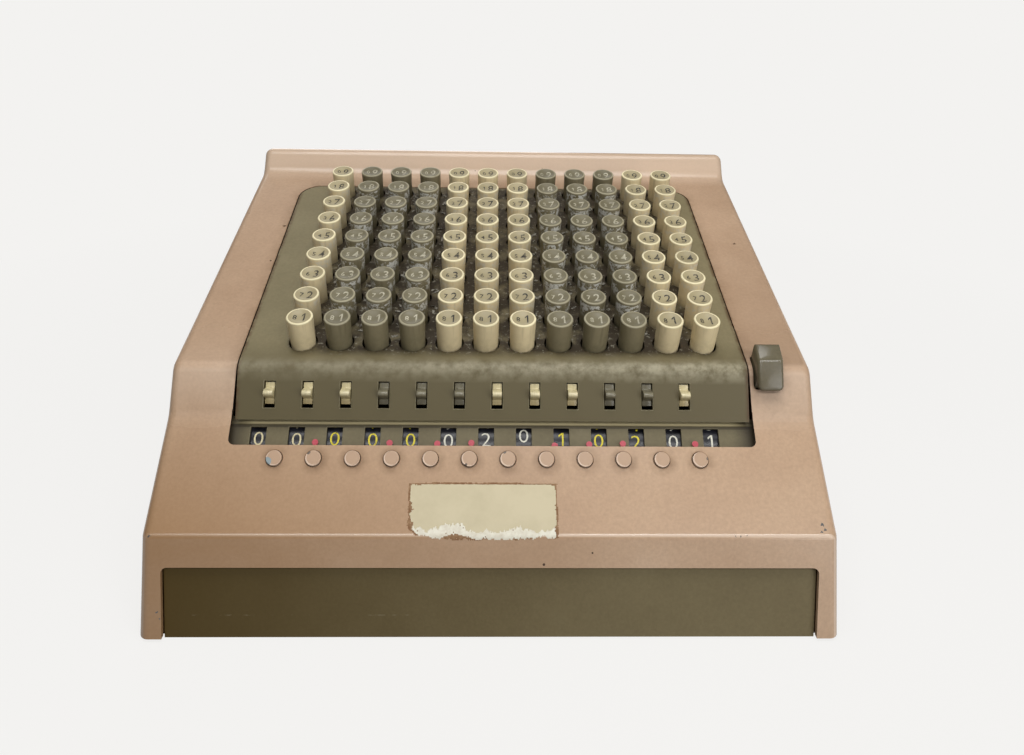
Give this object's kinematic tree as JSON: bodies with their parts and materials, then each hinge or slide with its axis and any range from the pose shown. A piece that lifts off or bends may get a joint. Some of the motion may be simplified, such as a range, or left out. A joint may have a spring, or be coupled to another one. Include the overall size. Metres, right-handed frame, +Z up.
{
  "type": "mechanical adding machine",
  "caption": "Key-driven mechanical adding machine: sloped metal casing, full keyboard of round keys, cut-off levers, numeral wheels behind windows, decimal markers and a clear key.",
  "frame": {"origin": "middle of the footprint, on the surface that the feet stand on", "axes": "+X to the user's right, +Y to the back, +Z up"},
  "size_m": [0.3346, 0.2942, 0.1705],
  "materials": {
    "casing_paint": "semi-gloss baked enamel",
    "panel_paint": "matte baked enamel",
    "front_panel_paint": "satin enamel",
    "register_paint": "matte enamel",
    "base_paint": "matte enamel",
    "foot_rubber": "matte",
    "chassis_steel": "plain mill finish",
    "spring_steel": "drawn wire",
    "screw_steel": "zinc plated",
    "clear_key_paint": "gloss enamel",
    "key_plastic": "worn semi-gloss",
    "wheel_plastic": "satin",
    "lever_plastic": "worn semi-gloss",
    "marker_paint": "gloss enamel"
  },
  "bodies": {
    "machine": {"top_casing": "casing_paint", "keyboard_panel": "panel_paint", "front_panel": "front_panel_paint", "register_plate": "register_paint", "base_plate": "base_paint", "rubber_feet": "foot_rubber", "side_frames": "chassis_steel", "cross_shafts": "chassis_steel", "key_guide_plate": "chassis_steel", "key_return_springs": "spring_steel", "clear_key_spring": "spring_steel", "fasteners": "screw_steel"},
    "column_levers": {"column_levers": "chassis_steel"},
    "clear_key": {"clear_key": "clear_key_paint"},
    "key_row_1": {"key_row_1": "key_plastic"},
    "key_row_2": {"key_row_2": "key_plastic"},
    "key_row_3": {"key_row_3": "key_plastic"},
    "key_row_4": {"key_row_4": "key_plastic"},
    "key_row_5": {"key_row_5": "key_plastic"},
    "key_row_6": {"key_row_6": "key_plastic"},
    "key_row_7": {"key_row_7": "key_plastic"},
    "key_row_8": {"key_row_8": "key_plastic"},
    "key_row_9": {"key_row_9": "key_plastic"},
    "numeral_wheel_1": {"numeral_wheel_1": "wheel_plastic"},
    "numeral_wheel_2": {"numeral_wheel_2": "wheel_plastic"},
    "numeral_wheel_3": {"numeral_wheel_3": "wheel_plastic"},
    "numeral_wheel_4": {"numeral_wheel_4": "wheel_plastic"},
    "numeral_wheel_5": {"numeral_wheel_5": "wheel_plastic"},
    "numeral_wheel_6": {"numeral_wheel_6": "wheel_plastic"},
    "numeral_wheel_7": {"numeral_wheel_7": "wheel_plastic"},
    "numeral_wheel_8": {"numeral_wheel_8": "wheel_plastic"},
    "numeral_wheel_9": {"numeral_wheel_9": "wheel_plastic"},
    "numeral_wheel_10": {"numeral_wheel_10": "wheel_plastic"},
    "numeral_wheel_11": {"numeral_wheel_11": "wheel_plastic"},
    "numeral_wheel_12": {"numeral_wheel_12": "wheel_plastic"},
    "numeral_wheel_13": {"numeral_wheel_13": "wheel_plastic"},
    "cutoff_lever_1": {"cutoff_lever_1": "lever_plastic"},
    "cutoff_lever_2": {"cutoff_lever_2": "lever_plastic"},
    "cutoff_lever_3": {"cutoff_lever_3": "lever_plastic"},
    "cutoff_lever_4": {"cutoff_lever_4": "lever_plastic"},
    "cutoff_lever_5": {"cutoff_lever_5": "lever_plastic"},
    "cutoff_lever_6": {"cutoff_lever_6": "lever_plastic"},
    "cutoff_lever_7": {"cutoff_lever_7": "lever_plastic"},
    "cutoff_lever_8": {"cutoff_lever_8": "lever_plastic"},
    "cutoff_lever_9": {"cutoff_lever_9": "lever_plastic"},
    "cutoff_lever_10": {"cutoff_lever_10": "lever_plastic"},
    "cutoff_lever_11": {"cutoff_lever_11": "lever_plastic"},
    "cutoff_lever_12": {"cutoff_lever_12": "lever_plastic"},
    "decimal_marker_1": {"decimal_marker_1": "marker_paint"},
    "decimal_marker_2": {"decimal_marker_2": "marker_paint"},
    "decimal_marker_3": {"decimal_marker_3": "marker_paint"},
    "decimal_marker_4": {"decimal_marker_4": "marker_paint"},
    "decimal_marker_5": {"decimal_marker_5": "marker_paint"},
    "decimal_marker_6": {"decimal_marker_6": "marker_paint"},
    "decimal_marker_7": {"decimal_marker_7": "marker_paint"},
    "decimal_marker_8": {"decimal_marker_8": "marker_paint"},
    "decimal_marker_9": {"decimal_marker_9": "marker_paint"},
    "decimal_marker_10": {"decimal_marker_10": "marker_paint"},
    "decimal_marker_11": {"decimal_marker_11": "marker_paint"},
    "decimal_marker_12": {"decimal_marker_12": "marker_paint"}
  },
  "joints": [
    {"name": "key_row_1_press", "type": "slide", "parent": "machine", "child": "key_row_1", "axis": [0, 0.242, -0.9703], "range_m": [0, 0.00432], "stiffness_N_per_m": 300, "springref_m": -0.005},
    {"name": "key_row_2_press", "type": "slide", "parent": "machine", "child": "key_row_2", "axis": [0, 0.242, -0.9703], "range_m": [0, 0.00768], "stiffness_N_per_m": 300, "springref_m": -0.005},
    {"name": "key_row_3_press", "type": "slide", "parent": "machine", "child": "key_row_3", "axis": [0, 0.242, -0.9703], "range_m": [0, 0.01008], "stiffness_N_per_m": 300, "springref_m": -0.005},
    {"name": "key_row_4_press", "type": "slide", "parent": "machine", "child": "key_row_4", "axis": [0, 0.242, -0.9703], "range_m": [0, 0.01152], "stiffness_N_per_m": 300, "springref_m": -0.005},
    {"name": "key_row_5_press", "type": "slide", "parent": "machine", "child": "key_row_5", "axis": [0, 0.242, -0.9703], "range_m": [0, 0.012], "stiffness_N_per_m": 300, "springref_m": -0.005},
    {"name": "key_row_6_press", "type": "slide", "parent": "machine", "child": "key_row_6", "axis": [0, 0.242, -0.9703], "range_m": [0, 0.01152], "stiffness_N_per_m": 300, "springref_m": -0.005},
    {"name": "key_row_7_press", "type": "slide", "parent": "machine", "child": "key_row_7", "axis": [0, 0.242, -0.9703], "range_m": [0, 0.01008], "stiffness_N_per_m": 300, "springref_m": -0.005},
    {"name": "key_row_8_press", "type": "slide", "parent": "machine", "child": "key_row_8", "axis": [0, 0.242, -0.9703], "range_m": [0, 0.00768], "stiffness_N_per_m": 300, "springref_m": -0.005},
    {"name": "key_row_9_press", "type": "slide", "parent": "machine", "child": "key_row_9", "axis": [0, 0.242, -0.9703], "range_m": [0, 0.00432], "stiffness_N_per_m": 300, "springref_m": -0.005},
    {"name": "numeral_wheel_1_turn", "type": "hinge", "parent": "machine", "child": "numeral_wheel_1", "pos_m": [-0.11837, -0.07949, 0.06442], "axis": [1, 0, 0], "continuous": true},
    {"name": "numeral_wheel_2_turn", "type": "hinge", "parent": "machine", "child": "numeral_wheel_2", "pos_m": [-0.09932, -0.07949, 0.06442], "axis": [1, 0, 0], "continuous": true},
    {"name": "numeral_wheel_3_turn", "type": "hinge", "parent": "machine", "child": "numeral_wheel_3", "pos_m": [-0.08027, -0.07949, 0.06442], "axis": [1, 0, 0], "continuous": true},
    {"name": "numeral_wheel_4_turn", "type": "hinge", "parent": "machine", "child": "numeral_wheel_4", "pos_m": [-0.06123, -0.07949, 0.06442], "axis": [1, 0, 0], "continuous": true},
    {"name": "numeral_wheel_5_turn", "type": "hinge", "parent": "machine", "child": "numeral_wheel_5", "pos_m": [-0.04217, -0.07949, 0.06442], "axis": [1, 0, 0], "continuous": true},
    {"name": "numeral_wheel_6_turn", "type": "hinge", "parent": "machine", "child": "numeral_wheel_6", "pos_m": [-0.02312, -0.07949, 0.06442], "axis": [1, 0, 0], "continuous": true},
    {"name": "numeral_wheel_7_turn", "type": "hinge", "parent": "machine", "child": "numeral_wheel_7", "pos_m": [-0.00407, -0.07949, 0.06442], "axis": [1, 0, 0], "continuous": true},
    {"name": "numeral_wheel_8_turn", "type": "hinge", "parent": "machine", "child": "numeral_wheel_8", "pos_m": [0.01498, -0.07949, 0.06442], "axis": [1, 0, 0], "continuous": true},
    {"name": "numeral_wheel_9_turn", "type": "hinge", "parent": "machine", "child": "numeral_wheel_9", "pos_m": [0.03402, -0.07949, 0.06442], "axis": [1, 0, 0], "continuous": true},
    {"name": "numeral_wheel_10_turn", "type": "hinge", "parent": "machine", "child": "numeral_wheel_10", "pos_m": [0.05307, -0.07949, 0.06442], "axis": [1, 0, 0], "continuous": true},
    {"name": "numeral_wheel_11_turn", "type": "hinge", "parent": "machine", "child": "numeral_wheel_11", "pos_m": [0.07212, -0.07949, 0.06442], "axis": [1, 0, 0], "continuous": true},
    {"name": "numeral_wheel_12_turn", "type": "hinge", "parent": "machine", "child": "numeral_wheel_12", "pos_m": [0.09118, -0.07949, 0.06442], "axis": [1, 0, 0], "continuous": true},
    {"name": "numeral_wheel_13_turn", "type": "hinge", "parent": "machine", "child": "numeral_wheel_13", "pos_m": [0.11023, -0.07949, 0.06442], "axis": [1, 0, 0], "continuous": true},
    {"name": "cutoff_lever_1_tip", "type": "hinge", "parent": "machine", "child": "cutoff_lever_1", "pos_m": [-0.11303, -0.06616, 0.08743], "axis": [1, 0, 0], "range_deg": [0, 4.5]},
    {"name": "cutoff_lever_2_tip", "type": "hinge", "parent": "machine", "child": "cutoff_lever_2", "pos_m": [-0.09398, -0.06616, 0.08743], "axis": [1, 0, 0], "range_deg": [0, 4.5]},
    {"name": "cutoff_lever_3_tip", "type": "hinge", "parent": "machine", "child": "cutoff_lever_3", "pos_m": [-0.07493, -0.06616, 0.08743], "axis": [1, 0, 0], "range_deg": [0, 4.5]},
    {"name": "cutoff_lever_4_tip", "type": "hinge", "parent": "machine", "child": "cutoff_lever_4", "pos_m": [-0.05588, -0.06616, 0.08743], "axis": [1, 0, 0], "range_deg": [0, 4.5]},
    {"name": "cutoff_lever_5_tip", "type": "hinge", "parent": "machine", "child": "cutoff_lever_5", "pos_m": [-0.03682, -0.06616, 0.08743], "axis": [1, 0, 0], "range_deg": [0, 4.5]},
    {"name": "cutoff_lever_6_tip", "type": "hinge", "parent": "machine", "child": "cutoff_lever_6", "pos_m": [-0.01777, -0.06616, 0.08743], "axis": [1, 0, 0], "range_deg": [0, 4.5]},
    {"name": "cutoff_lever_7_tip", "type": "hinge", "parent": "machine", "child": "cutoff_lever_7", "pos_m": [0.00128, -0.06616, 0.08743], "axis": [1, 0, 0], "range_deg": [0, 4.5]},
    {"name": "cutoff_lever_8_tip", "type": "hinge", "parent": "machine", "child": "cutoff_lever_8", "pos_m": [0.02032, -0.06616, 0.08743], "axis": [1, 0, 0], "range_deg": [0, 4.5]},
    {"name": "cutoff_lever_9_tip", "type": "hinge", "parent": "machine", "child": "cutoff_lever_9", "pos_m": [0.03938, -0.06616, 0.08743], "axis": [1, 0, 0], "range_deg": [0, 4.5]},
    {"name": "cutoff_lever_10_tip", "type": "hinge", "parent": "machine", "child": "cutoff_lever_10", "pos_m": [0.05842, -0.06616, 0.08743], "axis": [1, 0, 0], "range_deg": [0, 4.5]},
    {"name": "cutoff_lever_11_tip", "type": "hinge", "parent": "machine", "child": "cutoff_lever_11", "pos_m": [0.07748, -0.06616, 0.08743], "axis": [1, 0, 0], "range_deg": [0, 4.5]},
    {"name": "cutoff_lever_12_tip", "type": "hinge", "parent": "machine", "child": "cutoff_lever_12", "pos_m": [0.09652, -0.06616, 0.08743], "axis": [1, 0, 0], "range_deg": [0, 4.5]},
    {"name": "decimal_marker_1_turn", "type": "hinge", "parent": "machine", "child": "decimal_marker_1", "pos_m": [-0.10752, -0.10363, 0.07303], "axis": [0, -0.6508, 0.7593], "range_deg": [-2, 93]},
    {"name": "decimal_marker_2_turn", "type": "hinge", "parent": "machine", "child": "decimal_marker_2", "pos_m": [-0.08847, -0.10363, 0.07303], "axis": [0, -0.6508, 0.7593], "range_deg": [-74.7, 20.3]},
    {"name": "decimal_marker_3_turn", "type": "hinge", "parent": "machine", "child": "decimal_marker_3", "pos_m": [-0.06943, -0.10363, 0.07303], "axis": [0, -0.6508, 0.7593], "range_deg": [-2, 93]},
    {"name": "decimal_marker_4_turn", "type": "hinge", "parent": "machine", "child": "decimal_marker_4", "pos_m": [-0.05038, -0.10363, 0.07303], "axis": [0, -0.6508, 0.7593], "range_deg": [-81.5, 13.5]},
    {"name": "decimal_marker_5_turn", "type": "hinge", "parent": "machine", "child": "decimal_marker_5", "pos_m": [-0.03132, -0.10363, 0.07303], "axis": [0, -0.6508, 0.7593], "range_deg": [-51.7, 43.3]},
    {"name": "decimal_marker_6_turn", "type": "hinge", "parent": "machine", "child": "decimal_marker_6", "pos_m": [-0.01227, -0.10363, 0.07303], "axis": [0, -0.6508, 0.7593], "range_deg": [-64.8, 30.2]},
    {"name": "decimal_marker_7_turn", "type": "hinge", "parent": "machine", "child": "decimal_marker_7", "pos_m": [0.00677, -0.10363, 0.07303], "axis": [0, -0.6508, 0.7593], "range_deg": [-2, 93]},
    {"name": "decimal_marker_8_turn", "type": "hinge", "parent": "machine", "child": "decimal_marker_8", "pos_m": [0.02583, -0.10363, 0.07303], "axis": [0, -0.6508, 0.7593], "range_deg": [-40.5, 54.5]},
    {"name": "decimal_marker_9_turn", "type": "hinge", "parent": "machine", "child": "decimal_marker_9", "pos_m": [0.04487, -0.10363, 0.07303], "axis": [0, -0.6508, 0.7593], "range_deg": [-51.8, 43.2]},
    {"name": "decimal_marker_10_turn", "type": "hinge", "parent": "machine", "child": "decimal_marker_10", "pos_m": [0.06392, -0.10363, 0.07303], "axis": [0, -0.6508, 0.7593], "range_deg": [-65, 30]},
    {"name": "decimal_marker_11_turn", "type": "hinge", "parent": "machine", "child": "decimal_marker_11", "pos_m": [0.08297, -0.10363, 0.07303], "axis": [0, -0.6508, 0.7593], "range_deg": [-2, 93]},
    {"name": "decimal_marker_12_turn", "type": "hinge", "parent": "machine", "child": "decimal_marker_12", "pos_m": [0.10203, -0.10363, 0.07303], "axis": [0, -0.6508, 0.7593], "range_deg": [-74.4, 20.6]},
    {"name": "clear_key_press", "type": "hinge", "parent": "machine", "child": "clear_key", "pos_m": [0.1397, -0.04543, 0.10611], "axis": [1, 0, 0], "range_deg": [0, 8], "stiffness_Nm_per_rad": 0.05, "springref_deg": -17.19},
    {"name": "column_levers_swing", "type": "hinge", "parent": "machine", "child": "column_levers", "pos_m": [0, 0.12408, 0.09375], "axis": [1, 0, 0], "range_deg": [0, 13], "stiffness_Nm_per_rad": 1, "springref_deg": -28.65}
  ]
}
